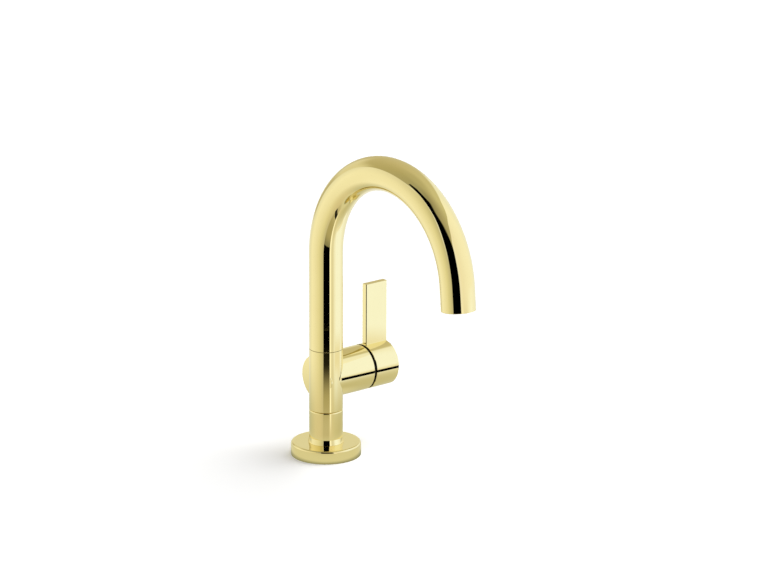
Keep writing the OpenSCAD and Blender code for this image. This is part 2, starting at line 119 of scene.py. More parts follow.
# Lever
HUB_WALL = 3 * MM
HUB_POCKET = 10 * MM
HUB_BOSS_R = 7.6 * MM
HUB_BOSS_IN = 1.6 * MM
EDGE_BEVEL = 0.4 * MM
BLADE_W = 22.8 * MM
BLADE_T = 5.5 * MM
BLADE_BEVEL = 0.5 * MM
SQUARE_HALF = 3.4 * MM
SQUARE_SOCKET_PAST = 1.4 * MM
PLUG_HOLE_R = 2.6 * MM
# Grub screws
GRUB_R = 2 * MM
SOCKET_R = 1.15 * MM
SOCKET_DEEP = 1.7 * MM
SCREW_SET_BACK = 0.3 * MM
POST_GROOVE_R = 8.5 * MM
# Aerator
AERATOR_R = 11 * MM
AERATOR_BORE_R = 9 * MM
AERATOR_LONG = 11 * MM
AERATOR_LIP = 1.4 * MM
AERATOR_RECESS = 0.4 * MM
LIP_ROOM = 0.3 * MM
LIP_INWARD = 1.2 * MM
SCREEN_THICK = 2.5 * MM
SCREEN_HOLE_R = 1 * MM
SCREEN_PITCH = 2.6 * MM

# Forms that only the scene has: the pedestal's flared foot and upper edge, the hub's near
# edge, small roundings, the threads and the key notches of the aerator's lip
FOOT_HIGH = 4.6 * MM
FOOT_FLARE = 1.0 * MM
LOWER_SEAM_EDGE = 1.3 * MM
UPPER_SEAM_EDGE = 0.18 * MM
HUB_BEVEL = 0.25 * MM
MOUTH_EDGE = 0.35 * MM
EASED = 0.2 * MM
SHANK_PITCH, SHANK_THREAD = 1.6 * MM, 0.7 * MM
GRUB_PITCH, GRUB_THREAD = 0.5 * MM, 0.22 * MM
AERATOR_PITCH, AERATOR_THREAD = 1 * MM, 0.45 * MM
NOTCHES = 16
NOTCH_IN = 1.1 * MM
NOTCH_HALF = 0.7 * MM
NOTCH_LOW, NOTCH_HIGH = -0.5 * MM, 0.95 * MM
# A thread's form along one pitch: part of the pitch, and part of the thread's depth
THREAD_FORM = ((0, 1), (0.35, 0), (0.5, 0), (0.85, 1))

# Parts round a turn
ROUND = 256
TUBE_ROUND = 192
PLATE_ROUND = 128
PLUG_ROUND = 96
HOLE_ROUND = 64
SCREW_ROUND = 48
# Rings along the bend, the angle between two faces of a rounding, the largest angle that is
# shaded smooth, and the distance of the ring that supports the shading beside a rounding
BEND_RINGS = 150
ARC_STEP = math.radians(7.5)
SHARP = math.radians(9)
SUPPORT = 0.12 * MM
# How far a cutting or joining body reaches past the face that it opens or joins
PAST = 1 * MM
# Points closer than this are merged
MERGE = 0.0005 * MM


# -------- node graphs

class Value:
    """One output of a node graph, so that its maths reads as Python."""

    def __init__(self, graph, socket):
        self.graph = graph
        self.socket = socket

    def math(self, operation, *others):
        terms = dict(enumerate((self, *others)))
        return self.graph.add("ShaderNodeMath", {"operation": operation}, terms)

    def __add__(self, other):
        return self.math("ADD", other)

    __radd__ = __add__

    def __mul__(self, other):
        return self.math("MULTIPLY", other)

    __rmul__ = __mul__

    def __sub__(self, other):
        return self.math("SUBTRACT", other)

    def __rsub__(self, other):
        return self * -1 + other

    def __truediv__(self, other):
        return self.math("DIVIDE", other)

    def smooth(self, start, end):
        """0 before start, 1 after end, with a smooth rise between them."""
        return self.graph.add(
            "ShaderNodeMapRange",
            {"interpolation_type": "SMOOTHSTEP"},
            {"Value": self, "From Min": start, "From Max": end},
        )


class Graph:
    """A node tree with one method that adds any node."""

    def __init__(self, tree):
        self.tree = tree
        self.links = tree.links

    def add(self, kind, settings=None, sockets=None, out=0):
        node = self.tree.nodes.new(kind)
        for name, setting in (settings or {}).items():
            if name == "stops":
                self.set_stops(node.color_ramp, setting)
            else:
                setattr(node, name, setting)
        for key, value in (sockets or {}).items():
            self.feed(node.inputs[key], value)
        if not node.outputs:
            return node
        return Value(self, node.outputs[out])

    def feed(self, socket, value):
        if isinstance(value, Value):
            self.links.new(value.socket, socket)
        elif isinstance(value, (tuple, list)) and len(value) == 3 and socket.type == "RGBA":
            socket.default_value = (*value, 1)
        else:
            socket.default_value = value

    @staticmethod
    def set_stops(ramp, stops):
        while len(ramp.elements) < len(stops):
            ramp.elements.new(1)
        for element, (position, colour) in zip(ramp.elements, stops):
            element.position = position
        for element, (position, colour) in zip(ramp.elements, stops):
            element.color = (*colour, 1)

    def mix(self, first, second, factor):
        """Colour that goes from first to second as factor goes from 0 to 1."""
        return self.add(
            "ShaderNodeMix", {"data_type": "RGBA"}, {0: factor, 6: first, 7: second}, out=2
        )

    def split(self, vector):
        """The three parts of a vector."""
        parts = self.add("ShaderNodeSeparateXYZ", {}, {0: vector}).socket.node.outputs
        return [Value(self, parts[i]) for i in range(3)]

    def place(self, scale=(1, 1, 1)):
        """Object coordinates, scaled."""
        point = self.add("ShaderNodeTexCoord", out="Object")
        return self.add("ShaderNodeMapping", {}, {"Vector": point, "Scale": scale})

    def noise(self, point, scale, detail=3, roughness=0.5):
        return self.add(
            "ShaderNodeTexNoise",
            {},
            {"Vector": point, "Scale": scale, "Detail": detail, "Roughness": roughness},
        )

    def bump(self, height, distance, strength=1):
        return self.add(
            "ShaderNodeBump", {}, {"Height": height, "Distance": distance, "Strength": strength}
        )


def new_material(name):
    """Empty node material and its graph."""
    material = bpy.data.materials.new(name)
    material.use_nodes = True
    material.node_tree.nodes.clear()
    return material, Graph(material.node_tree)


def surface_material(name, build):
    """Material with one principled shader, whose sockets build(graph) returns."""
    material, graph = new_material(name)
    shader = graph.add("ShaderNodeBsdfPrincipled", {}, build(graph))
    graph.add("ShaderNodeOutputMaterial", {}, {"Surface": shader})
    return material


# -------- materials

def polished_brass(graph):
    """Mirror-bright brass: a breath of haze, and the finest lines of the buffing wheel.

    The buffing wheel doesn't reach the faces in a narrow gap: they stay dull, and their colour is
    painted near black, as painted shade of the gap.
    """
    haze = graph.noise(graph.place(), 45, detail=4)
    buffing = graph.noise(graph.place((1, 1, 14)), 260, detail=2)
    dull_and_gap_shade = graph.add("ShaderNodeAttribute", {"attribute_name": "unpolished"}, out="Fac")
    bright = graph.mix((0.905, 0.795, 0.435), (0.885, 0.765, 0.405), haze)
    return {
        # Painted shade: the marked gap faces get a near-black colour, besides their rougher, duller
        # finish
        "Base Color": graph.mix(bright, (0.035, 0.027, 0.014), dull_and_gap_shade),
        "Metallic": 1,
        "Roughness": 0.022 + haze * 0.022 + buffing * 0.008 + dull_and_gap_shade * 0.5,
        "Normal": graph.bump(buffing, 0.0004 * MM),
    }


def satin_brass(graph):
    """Brass turned and brushed, round the aerator."""
    brushing = graph.noise(graph.place((1, 1, 30)), 300, detail=3)
    return {
        "Base Color": graph.mix((0.86, 0.74, 0.40), (0.78, 0.65, 0.33), brushing),
        "Metallic": 1,
        "Roughness": 0.22 + brushing * 0.12,
        "Normal": graph.bump(brushing, 0.004 * MM),
    }


def raw_brass(graph):
    """Brass as it leaves the lathe, a little dulled, with tool rings and stains."""
    stain = graph.noise(graph.place(), 90, detail=5, roughness=0.62)
    rings = graph.noise(graph.place((1, 1, 26)), 420, detail=2)
    clean = graph.mix((0.76, 0.60, 0.28), (0.66, 0.50, 0.22), rings)
    return {
        "Base Color": graph.mix(clean, (0.42, 0.30, 0.13), stain.smooth(0.52, 0.75) * 0.6),
        "Metallic": 1,
        "Roughness": 0.26 + stain * 0.22,
        "Normal": graph.bump(rings, 0.012 * MM),
    }


def stainless_steel(graph):
    """Steel with a brushed grain."""
    grain = graph.noise(graph.place((30, 1, 30)), 160, detail=3)
    cloud = graph.noise(graph.place(), 60, detail=3)
    return {
        "Base Color": graph.mix((0.62, 0.62, 0.63), (0.50, 0.50, 0.51), grain),
        "Metallic": 1,
        "Roughness": 0.24 + grain * 0.10 + cloud * 0.06,
        "Normal": graph.bump(grain, 0.006 * MM),
    }


def black_rubber(graph):
    """Matt rubber with talc in its pores."""
    pores = graph.noise(graph.place(), 1500, detail=3)
    talc = graph.noise(graph.place(), 120, detail=4)
    return {
        "Base Color": graph.mix((0.017, 0.017, 0.018), (0.045, 0.045, 0.046), talc),
        "Roughness": 0.62 + talc * 0.2,
        "Specular IOR Level": 0.35,
        "Normal": graph.bump(pores, 0.03 * MM),
    }


def white_acetal(graph):
    """Moulded white plastic with a slight flow pattern."""
    flow = graph.noise(graph.place((1, 1, 3)), 110, detail=4)
    grain = graph.noise(graph.place(), 1100, detail=2)
    return {
        "Base Color": graph.mix((0.83, 0.83, 0.80), (0.76, 0.76, 0.72), flow),
        "Roughness": 0.30 + flow * 0.12,
        "Subsurface Weight": 0.12,
        "Subsurface Scale": 1.2 * MM,
        "Normal": graph.bump(grain, 0.008 * MM),
    }


def dark_acetal(graph):
    """Moulded dark plastic, as the cartridge and the washers are."""
    flow = graph.noise(graph.place((1, 1, 3)), 130, detail=4)
    grain = graph.noise(graph.place(), 1300, detail=2)
    return {
        "Base Color": graph.mix((0.020, 0.017, 0.014), (0.040, 0.035, 0.030), flow),
        "Roughness": 0.42 + flow * 0.16,
        "Specular IOR Level": 0.2,
        "Normal": graph.bump(grain, 0.012 * MM),
    }


def ceramic(graph):
    """Lapped alumina: very smooth and slightly warm, with fine specks."""
    specks = graph.noise(graph.place(), 900, detail=2).smooth(0.66, 0.74)
    cloud = graph.noise(graph.place(), 70, detail=3)
    body = graph.mix((0.87, 0.85, 0.80), (0.82, 0.80, 0.75), cloud)
    return {
        "Base Color": graph.mix(body, (0.55, 0.52, 0.47), specks * 0.5),
        "Roughness": 0.16 + cloud * 0.08,
        "Coat Weight": 0.2 + cloud * 0.1,
    }


FINISHES = {
    finish.__name__: surface_material(finish.__name__, finish)
    for finish in (
        polished_brass, satin_brass, raw_brass, stainless_steel, black_rubber,
        white_acetal, dark_acetal, ceramic,
    )
}


# -------- mesh tools

def rounded(corners, closed=True):
    """Outline of (across, along, radius) corners, each rounded by its own radius.

    A straight stretch gets one more point close to each rounding, which keeps its shading true.
    """
    outline = []
    for i, (across, along, radius) in enumerate(corners):
        corner = Vector((across, along))
        is_end = not closed and i in (0, len(corners) - 1)
        if is_end or radius == 0:
            outline.append(corner)
            continue
        before = Vector(corners[i - 1][:2]) - corner
        after = Vector(corners[(i + 1) % len(corners)][:2]) - corner
        outline += corner_arc(corner, before, after, radius)
    return outline


def corner_arc(corner, before, after, radius):
    """Points of the arc that rounds one corner, between the directions to its two neighbours."""
    inward = before.normalized()
    outward = after.normalized()
    half = before.angle(after) / 2
    reach = radius / math.tan(half)
    centre = corner + (inward + outward).normalized() * (radius / math.sin(half))
    start = corner + inward * reach - centre
    turn = start.angle_signed(corner + outward * reach - centre)
    steps = max(2, math.ceil(abs(turn) / ARC_STEP))
    arc = [centre + Matrix.Rotation(-turn * k / steps, 2) @ start for k in range(steps + 1)]
    if before.length - reach > 3 * SUPPORT:
        arc.insert(0, arc[0] + inward * SUPPORT)
    if after.length - reach > 3 * SUPPORT:
        arc.append(arc[-1] + outward * SUPPORT)
    return arc


def ring_point(radius, part, z):
    """Point on a circle round the Z axis, at that part of a turn."""
    return (radius * math.cos(math.tau * part), radius * math.sin(math.tau * part), z)


def add_face(mesh, corners):
    """Face through the corners, without one where they fall together in a line or a point."""
    face = list(dict.fromkeys(corners))
    if len(face) > 2:
        mesh.faces.new(face)


def turned(outline, closed=True, segments=ROUND):
    """Mesh of an outline turned round the Z axis. An open outline starts and ends on the axis."""
    mesh = bmesh.new()
    rings = []
    for across, along in outline:
        if across < MERGE:
            rings.append([mesh.verts.new((0, 0, along))] * segments)
            continue
        rings.append([mesh.verts.new(ring_point(across, k / segments, along)) for k in range(segments)])
    pairs = list(zip(rings, rings[1:]))
    if closed:
        pairs.append((rings[-1], rings[0]))
    for low, high in pairs:
        for k in range(segments):
            add_face(mesh, (low[k - 1], low[k], high[k], high[k - 1]))
    bmesh.ops.recalc_face_normals(mesh, faces=mesh.faces)
    return mesh


def to_object(mesh, name, matrix=None):
    """Object named name with that mesh, its place worked into the mesh."""
    if matrix is not None:
        bmesh.ops.transform(mesh, matrix=matrix, verts=mesh.verts)
    data = bpy.data.meshes.new(name)
    mesh.to_mesh(data)
    mesh.free()
    piece = bpy.data.objects.new(name, data)
    bpy.context.scene.collection.objects.link(piece)
    return piece


def bake_modifiers(piece):
    """Turns what the modifiers make into the piece's own mesh."""
    bpy.context.view_layer.update()
    evaluated = piece.evaluated_get(bpy.context.evaluated_depsgraph_get())
    data = bpy.data.meshes.new_from_object(evaluated)
    data.name = piece.name
    piece.modifiers.clear()
    piece.data = data
    return piece


def combine(piece, operation, *tools):
    """Joins or cuts the piece with each tool, and removes the tools."""
    for tool in tools:
        modifier = piece.modifiers.new("combine", "BOOLEAN")
        modifier.operation = operation
        modifier.object = tool
        modifier.solver = "MANIFOLD"
        bake_modifiers(piece)
        bpy.data.objects.remove(tool)
    return piece


def bar(name, radius, start, end, edge=0.0, segments=ROUND, matrix=None):
    """Solid round bar along Z, both edges rounded."""
    corners = [(0, start, 0), (radius, start, edge), (radius, end, edge), (0, end, 0)]
    outline = rounded(corners, closed=False)
    return to_object(turned(outline, closed=False, segments=segments), name, matrix)


def threaded(name, radius, start, end, pitch, depth, bore=0.0, segments=PLUG_ROUND, matrix=None):
    """Solid bar along Z with a screw thread round it, bored through if bore is given."""
    form = len(THREAD_FORM)
    rows = form * (math.ceil((end - start) / pitch) + 2)
    mesh = bmesh.new()
    columns = []
    for k in range(segments):
        column = []
        for m in range(rows):
            part, sunk = THREAD_FORM[m % form]
            z = start + pitch * (m // form + part - 1 + k / segments)
            room = max(min(z - start, end - z), 0)
            reach = min(radius - depth * sunk, radius - depth + room)
            point = ring_point(reach, k / segments, min(max(z, start), end))
            column.append(mesh.verts.new(point))
        columns.append(column)
    # The thread comes round to the first column a pitch further on
    columns.append([columns[0][min(m + form, rows - 1)] for m in range(rows)])
    for left, right in zip(columns, columns[1:]):
        for m in range(rows - 1):
            add_face(mesh, (left[m], right[m], right[m + 1], left[m + 1]))
    rims = [[column[row] for column in columns[:-1]] for row in (0, -1)]
    if bore:
        bores = [
            [mesh.verts.new(ring_point(bore, k / segments, z)) for k in range(segments)]
            for z in (start, end)
        ]
        for outer, inner in ((rims[0], bores[0]), (rims[1], bores[1]), bores):
            for k in range(segments):
                mesh.faces.new((outer[k - 1], outer[k], inner[k], inner[k - 1]))
    else:
        for rim in rims:
            mesh.faces.new(rim)
    bmesh.ops.remove_doubles(mesh, verts=mesh.verts, dist=MERGE)
    bmesh.ops.recalc_face_normals(mesh, faces=mesh.faces)
    return to_object(mesh, name, matrix)


def block(name, low, high, edge, matrix=None):
    """Rectangular block whose upright edges are cut off flat, at 45 degrees."""
    mesh = bmesh.new()
    size = Vector(high) - Vector(low)
    centre = (Vector(high) + Vector(low)) / 2
    bmesh.ops.create_cube(mesh, size=1)
    bmesh.ops.scale(mesh, vec=size, verts=mesh.verts)
    bmesh.ops.translate(mesh, vec=centre, verts=mesh.verts)
    if edge:
        upright = [
            side for side in mesh.edges
            if abs(side.verts[0].co.z - side.verts[1].co.z) > size.z / 2
        ]
        bmesh.ops.bevel(mesh, geom=upright, offset=edge, segments=1, affect="EDGES")
    return to_object(mesh, name, matrix)


def mark_dull_shaded_gap(piece, x):
    """Marks the faces of the piece that lie in the plane across the barrel at that x, which the brass
    leaves dull and paints near black as painted shade of the gap.
    """
    near = 0.01 * MM
    points = piece.data.vertices
    marks = [
        float(all(abs(points[i].co.x - x) < near for i in polygon.vertices))
        for polygon in piece.data.polygons
    ]
    unpolished = piece.data.attributes.new("unpolished", "FLOAT", "FACE")
    unpolished.data.foreach_set("value", marks)


def finish_piece(piece, finish, body, *nodes):
    """Shading, material, body and nodes of a finished piece."""
    mesh = bmesh.new()
    mesh.from_mesh(piece.data)
    bmesh.ops.remove_doubles(mesh, verts=mesh.verts, dist=MERGE)
    mesh.to_mesh(piece.data)
    mesh.free()
    for polygon in piece.data.polygons:
        polygon.use_smooth = True
    piece.data.set_sharp_from_angle(angle=SHARP)
    piece.data.materials.clear()
    piece.data.materials.append(FINISHES[finish])
    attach(piece, body)
    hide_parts(*nodes)
    return piece


def at_place(point, turn, axis):
    """Frame at a point, turned round one axis."""
    return Matrix.Translation(point) @ Matrix.Rotation(turn, 4, axis)


# The barrel's own frame: local Z runs along +X, local X points down
AT_BARREL = at_place((0, BARREL_Y, BARREL_Z), math.pi / 2, "Y")
# The grub screws' own frames: local Z runs from the axis out through the screw's head
AT_SPOUT_SCREW = at_place((0, 0, SPOUT_SCREW_Z), -math.pi / 2, "X")
AT_LEVER_SCREW = at_place((LEVER_SCREW_X, BARREL_Y, BARREL_Z), math.pi, "X")
# The outlet's own frame: local Z runs from the tube's end up into the tube
OUTLET_Y = BEND_R * (math.cos(BEND_SWEEP) - 1) - OUTLET_STRAIGHT * math.sin(BEND_SWEEP)
OUTLET_Z = BEND_START + BEND_R * math.sin(BEND_SWEEP) + OUTLET_STRAIGHT * math.cos(BEND_SWEEP)
AT_OUTLET = at_place((0, OUTLET_Y, OUTLET_Z), BEND_SWEEP + math.pi, "X")


# -------- pieces

def base_flange():
    """Round flange with a rolled upper edge, hollow underneath round the boss."""
    top = FLANGE_HIGH.z
    bore = SHANK_R + SHANK_ROOM
    rim_in = FLANGE_R - FLANGE_RIM
    boss = bore + FLANGE_BOSS
    pocket_top = top - FLANGE_TOP
    pocket_edge = 0.8 * MM
    foot_edge = 0.25 * MM
    flange = to_object(turned(rounded([
        (bore, GASKET_T, EASED), (bore, top, EASED), (FLANGE_R, top, FLANGE_EDGE),
        (FLANGE_R, 0, foot_edge), (rim_in, 0, EASED), (rim_in, pocket_top, pocket_edge),
        (boss, pocket_top, pocket_edge), (boss, GASKET_T, EASED),
    ])), "flange")
    return finish_piece(flange, "polished_brass", "faucet_body", "base_flange")


def pedestal():
    """Lower sleeve of the column, bored for the shank and for the spigot, with a flared foot."""
    low, high = PEDESTAL_LOW.z, PEDESTAL_HIGH.z
    shank_top = SHANK_HIGH.z
    spigot_low = BODY_LOW.z
    toe_edge = 0.1 * MM
    mouth = 0.3 * MM
    sleeve = to_object(turned(rounded([
        (COLUMN_R + FOOT_FLARE, low, toe_edge), (COLUMN_R, low + FOOT_HIGH, 2 * EASED),
        (COLUMN_R, high, LOWER_SEAM_EDGE), (SPIGOT_R + FIT, high, EASED),
        (SPIGOT_R + FIT, spigot_low, 0), (HOSE_WAY_R, spigot_low, 0), (HOSE_WAY_R, shank_top, 0),
        (SHANK_R + FIT, shank_top, 0), (SHANK_R + FIT, low, mouth),
    ])), "column_pedestal")
    return finish_piece(sleeve, "polished_brass", "faucet_body", "pedestal")


def valve_body():
    """Column and barrel in one casting, bored for the cartridge, the post and both inlets."""
    seam = PEDESTAL_HIGH.z + SEAM_GAP
    mouth = BODY_HIGH.x + PAST
    body = bar("valve_casting", COLUMN_R, seam, BODY_HIGH.z, edge=UPPER_SEAM_EDGE)
    spigot = bar("spigot", SPIGOT_R, BODY_LOW.z, seam + PAST, edge=0.3 * MM)
    barrel = bar("barrel", BARREL_R, -BARREL_TAIL, BODY_HIGH.x, edge=EDGE_BEVEL, matrix=AT_BARREL)
    combine(body, "UNION", spigot, barrel)
    bay = bar("bay", BAY_R, SEAT_X, mouth, matrix=AT_BARREL)
    nut_bore = bar("nut_bore", CAP_NUT_R, HOUSING_X, mouth, matrix=AT_BARREL)
    post_hole = bar("post_hole", POST_HOLE_R, BODY_HIGH.z - POST_HOLE_DEEP, BODY_HIGH.z + PAST)
    inlets = [
        bar("inlet", INLET_R, BODY_LOW.z - PAST, BODY_LOW.z + INLET_DEEP, segments=HOLE_ROUND,
            matrix=Matrix.Translation((0, side * INLET_Y, 0)))
        for side in (-1, 1)
    ]
    combine(body, "DIFFERENCE", bay, nut_bore, post_hole, *inlets)
    # Painted shade: the barrel's end face in the gap to the hub is painted near black
    mark_dull_shaded_gap(body, BODY_HIGH.x)
    return finish_piece(body, "polished_brass", "faucet_body", "valve_body")


def geometry_tree(name, *sizes):
    """New geometry node tree: its graph, and the values of its inputs, with sizes in the middle."""
    tree = bpy.data.node_groups.new(name, "GeometryNodeTree")
    for label, kind in (("Geometry", "Geometry"), *sizes, ("Finish", "Material")):
        tree.interface.new_socket(label, in_out="INPUT", socket_type="NodeSocket" + kind)
    tree.interface.new_socket("Geometry", in_out="OUTPUT", socket_type="NodeSocketGeometry")
    graph = Graph(tree)
    given = graph.add("NodeGroupInput").socket.node.outputs
    return graph, [Value(graph, given[i]) for i in range(len(sizes) + 2)]


def end_tree(graph, geometry, finish):
    """Ends a geometry node tree with real meshes in their material."""
    real = graph.add("GeometryNodeRealizeInstances", {}, {"Geometry": geometry})
    finished = graph.add("GeometryNodeSetMaterial", {}, {"Geometry": real, "Material": finish})
    graph.add("NodeGroupOutput", {}, {0: finished})
    return graph.tree


def gooseneck_tree():
    """Node tree that bends a straight upright tube along the gooseneck."""
    graph, (geometry, start, radius, sweep, finish) = geometry_tree(
        "gooseneck_bend", ("Bend Start", "Float"), ("Bend Radius", "Float"), ("Sweep", "Float")
    )
    x, y, z = graph.split(graph.add("GeometryNodeInputPosition"))
    risen = z - start
    angle = (risen / radius).math("MAXIMUM", 0).math("MINIMUM", sweep)
    below = risen.math("MINIMUM", 0)
    beyond = (risen - radius * sweep).math("MAXIMUM", 0)
    reach = radius + y
    bent_y = reach * angle.math("COSINE") - radius - beyond * angle.math("SINE")
    bent_z = start + below + reach * angle.math("SINE") + beyond * angle.math("COSINE")
    bent = graph.add("ShaderNodeCombineXYZ", {}, {0: x, 1: bent_y, 2: bent_z})
    moved = graph.add("GeometryNodeSetPosition", {}, {"Geometry": geometry, "Position": bent})
    return end_tree(graph, moved, finish)


def run_tree(piece, tree, **inputs):
    """Runs a geometry node tree on the piece, with its inputs by name, and keeps the result."""
    modifier = piece.modifiers.new("tree", "NODES")
    modifier.node_group = tree
    for item in tree.interface.items_tree:
        if item.in_out == "INPUT" and item.name in inputs:
            modifier[item.identifier] = inputs[item.name]
    return bake_modifiers(piece)


def spout_tube():
    """The gooseneck: a straight tube with its grub-screw hole, then bent along the spout's line."""
    foot = SPOUT_LOW.z
    bend_length = BEND_R * BEND_SWEEP
    mouth = BEND_START + bend_length + OUTLET_STRAIGHT
    bore = COLUMN_R - TUBE_WALL
    section = rounded([
        (COLUMN_R, foot, UPPER_SEAM_EDGE), (COLUMN_R, mouth, MOUTH_EDGE),
        (bore, mouth, MOUTH_EDGE), (bore, foot, UPPER_SEAM_EDGE),
    ])
    stations = [BEND_START + bend_length * k / BEND_RINGS for k in range(BEND_RINGS + 1)]
    outline = []
    for point, following in zip(section, section[1:] + section[:1]):
        outline.append(point)
        if abs(following.y - point.y) > bend_length:
            way = stations if following.y > point.y else stations[::-1]
            outline += [Vector((point.x, z)) for z in way]
    tube = to_object(turned(outline, segments=TUBE_ROUND), "gooseneck")
    hole = bar("grub_hole", GRUB_R + FIT, 0, COLUMN_R + PAST, segments=HOLE_ROUND,
               matrix=AT_SPOUT_SCREW)
    combine(tube, "DIFFERENCE", hole)
    run_tree(tube, gooseneck_tree(), **{
        "Bend Start": BEND_START, "Bend Radius": BEND_R, "Sweep": BEND_SWEEP,
        "Finish": FINISHES["polished_brass"],
    })
    return finish_piece(tube, "polished_brass", "spout", "spout_tube")


def lever_handle():
    """Hub and blade in one piece, hollow round its boss, with a square socket and a screw hole."""
    length = HUB_HIGH.x - HUB_LOW.x
    pocket_r = BARREL_R - HUB_WALL
    outline = rounded([
        (0, HUB_BOSS_IN, 0), (HUB_BOSS_R, HUB_BOSS_IN, EASED),
        (HUB_BOSS_R, HUB_POCKET, 2 * EASED), (pocket_r, HUB_POCKET, 2 * EASED),
        (pocket_r, 0, EASED), (BARREL_R - HUB_BEVEL, 0, 0), (BARREL_R, HUB_BEVEL, 0),
        (BARREL_R, length - EDGE_BEVEL, 0), (BARREL_R - EDGE_BEVEL, length, 0), (0, length, 0),
    ], closed=False)
    at_hub = AT_BARREL @ Matrix.Translation((0, 0, HUB_LOW.x))
    hub = to_object(turned(outline, closed=False), "lever", at_hub)
    root = BARREL_Z + BARREL_R - HUB_WALL / 2
    blade = block("blade", (HUB_HIGH.x - BLADE_W, BARREL_Y - BLADE_T / 2, root),
                  (HUB_HIGH.x, BARREL_Y + BLADE_T / 2, HUB_HIGH.z), BLADE_BEVEL)
    combine(hub, "UNION", blade)
    half = SQUARE_HALF + FIT
    socket_end = HUB_LOW.x + HUB_POCKET + SQUARE_SOCKET_PAST
    socket = block("square_socket", (HUB_LOW.x, BARREL_Y - half, BARREL_Z - half),
                   (socket_end, BARREL_Y + half, BARREL_Z + half), 0)
    thread = bar("thread_hole", GRUB_R + FIT, 0, HUB_BOSS_R + PAST, segments=HOLE_ROUND,
                 matrix=AT_LEVER_SCREW)
    plug_hole = bar("plug_hole", PLUG_HOLE_R, HUB_BOSS_R, BARREL_R + PAST, segments=PLUG_ROUND,
                    matrix=AT_LEVER_SCREW)
    combine(hub, "DIFFERENCE", socket, thread, plug_hole)
    # Painted shade: the hub's face towards the barrel, in the gap, is painted near black
    mark_dull_shaded_gap(hub, HUB_LOW.x)
    return finish_piece(hub, "polished_brass", "lever", "lever_handle")


def mounting_shank():
    """Threaded pipe that holds the faucet down through the deck."""
    shank = threaded("threaded_shank", SHANK_R, SHANK_LOW.z, SHANK_HIGH.z, SHANK_PITCH,
                     SHANK_THREAD, bore=HOSE_WAY_R)
    return finish_piece(shank, "raw_brass", "faucet_body", "mounting_shank")


def mounting_nut():
    """Hexagon nut with a round flange, its corners turned off."""
    low, high = NUT_LOW.z, NUT_HIGH.z
    corner_r = NUT_HIGH.x
    turned_off = 0.3 * MM
    nut = bar("hexagon_nut", corner_r, low, high, segments=6)
    dome = bar("dome", corner_r - turned_off, low, high, edge=1.2 * MM)
    combine(nut, "INTERSECT", dome)
    flange = bar("nut_flange", corner_r, high - NUT_FLANGE, high, edge=0.5 * MM)
    combine(nut, "UNION", flange)
    hole = bar("nut_hole", SHANK_R + FIT, low - PAST, high + PAST)
    combine(nut, "DIFFERENCE", hole)
    return finish_piece(nut, "raw_brass", "faucet_body", "mounting_nut")


def grub_screw(name, node, head, tail, matrix, body):
    """Threaded screw with a hexagon socket in its head."""
    screw = threaded(name, GRUB_R, tail, head, GRUB_PITCH, GRUB_THREAD, segments=SCREW_ROUND,
                     matrix=matrix)
    socket = bar("socket", SOCKET_R, head - SOCKET_DEEP, head + PAST, segments=6, matrix=matrix)
    combine(screw, "DIFFERENCE", socket)
    return finish_piece(screw, "stainless_steel", body, node)


def screws():
    """The spout's retaining screw, down to the floor of the post's groove, and the lever's set
    screw, down to the square."""
    grub_screw("spout_grub_screw", "spout_screw", COLUMN_R - SCREW_SET_BACK, POST_GROOVE_R,
               AT_SPOUT_SCREW, "spout")
    grub_screw("lever_set_screw", "handle_screw", HUB_BOSS_R, SQUARE_HALF, AT_LEVER_SCREW, "lever")


def screw_plug():
    """Button that closes the set screw's hole, curved like the hub."""
    radius = PLUG_HOLE_R - FIT
    plug = bar("hole_plug", radius, BARREL_R - HUB_WALL, BARREL_R + PAST, segments=PLUG_ROUND,
               matrix=AT_LEVER_SCREW)
    curve = bar("curve", BARREL_R - FIT, LEVER_SCREW_X - 3 * radius, LEVER_SCREW_X + 3 * radius,
                matrix=AT_BARREL)
    combine(plug, "INTERSECT", curve)
    return finish_piece(plug, "dark_acetal", "lever", "screw_plug")


def aerator_housing():
    """Sleeve with an outer thread and a lip, notched for the key that turns it."""
    shelf = AERATOR_RECESS + AERATOR_LIP
    lip_r = COLUMN_R - TUBE_WALL - LIP_ROOM
    mouth_r = AERATOR_BORE_R - LIP_INWARD
    shelf_edge = 0.1 * MM
    overlap = 0.2 * MM
    sleeve = threaded("aerator_sleeve", AERATOR_R, shelf - overlap, shelf + AERATOR_LONG,
                      AERATOR_PITCH, AERATOR_THREAD, bore=AERATOR_BORE_R, matrix=AT_OUTLET)
    lip = to_object(turned(rounded([
        (mouth_r, AERATOR_RECESS, MOUTH_EDGE), (lip_r, AERATOR_RECESS, 0.45 * MM),
        (lip_r, shelf, shelf_edge), (mouth_r, shelf, shelf_edge),
    ]), segments=TUBE_ROUND), "lip", AT_OUTLET)
    notches = [
        block("notch", (lip_r - NOTCH_IN, -NOTCH_HALF, NOTCH_LOW),
              (lip_r + PAST, NOTCH_HALF, NOTCH_HIGH), EASED,
              AT_OUTLET @ Matrix.Rotation(math.tau * k / NOTCHES, 4, "Z"))
        for k in range(NOTCHES)
    ]
    combine(sleeve, "UNION", lip)
    combine(sleeve, "DIFFERENCE", *notches)
    return finish_piece(sleeve, "satin_brass", "spout", "aerator_housing")


